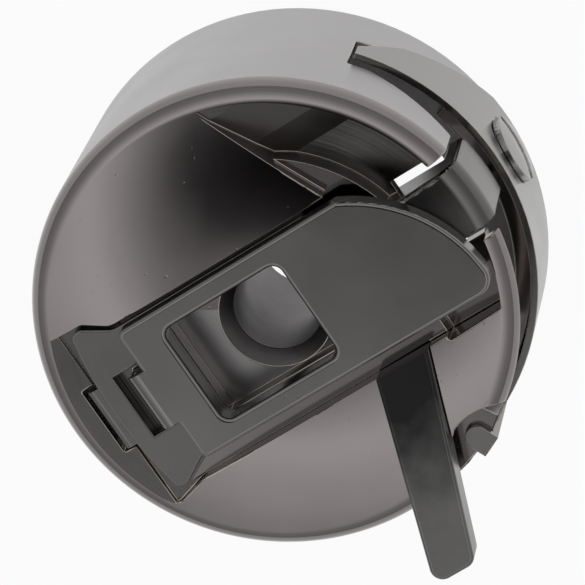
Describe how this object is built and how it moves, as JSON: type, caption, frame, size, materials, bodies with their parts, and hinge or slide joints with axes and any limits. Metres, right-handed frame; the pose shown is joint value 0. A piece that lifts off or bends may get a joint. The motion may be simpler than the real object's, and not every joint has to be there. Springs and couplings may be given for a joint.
{
  "type": "sewing machine bobbin case",
  "caption": "Front-loading steel bobbin case: a cup with a stud tube, a hinged thumb latch over a sprung slide, a positioning finger and a leaf tension spring with its set screw.",
  "frame": {"origin": "on the stud bore's axis at the rear end of the stud tube, one millimetre in front of the open rim", "axes": "+Z along the stud bore out of the latch face, +X along the latch from its hinge to its thumb end, +Y completes the right-handed set"},
  "size_m": [0.0236, 0.026, 0.0136],
  "materials": {
    "case_steel": "dark plated steel, polished on the face and satin with fine turning marks on the wall",
    "finger_steel": "dark plated steel, satin",
    "pin_steel": "ground steel",
    "slide_steel": "stamped steel, satin",
    "lever_steel": "dark satin steel with bright rounded edges",
    "coil_steel": "drawn spring wire",
    "leaf_steel": "light spring steel, satin",
    "screw_steel": "dark plated steel with a domed head"
  },
  "bodies": {
    "case": {"case_body": "case_steel", "position_finger": "finger_steel", "latch_hinge_pin": "pin_steel", "tension_spring": "leaf_steel", "latch_spring": "coil_steel"},
    "lever": {"latch_lever": "lever_steel"},
    "slide": {"latch_slide": "slide_steel"},
    "screw": {"tension_screw": "screw_steel"}
  },
  "joints": [
    {"name": "lever_lift", "type": "hinge", "parent": "case", "child": "lever", "pos_m": [-0.00655, 0, 0.0116], "axis": [0, -1, 0], "range_deg": [0, 60], "stiffness_Nm_per_rad": 0.002},
    {"name": "slide_travel", "type": "slide", "parent": "case", "child": "slide", "axis": [1, 0, 0], "range_m": [0, 0.00025], "deforming": ["latch_spring"]},
    {"name": "tension_screw_turn", "type": "hinge", "parent": "case", "child": "screw", "pos_m": [0.01137, -0.0008, 0.00265], "axis": [0.9976, -0.0698, 0], "range_deg": [-180, 180]}
  ],
  "couplings": [
    {"joint": "slide_travel", "follows": "lever_lift", "m_per_rad": 0.00023873}
  ]
}
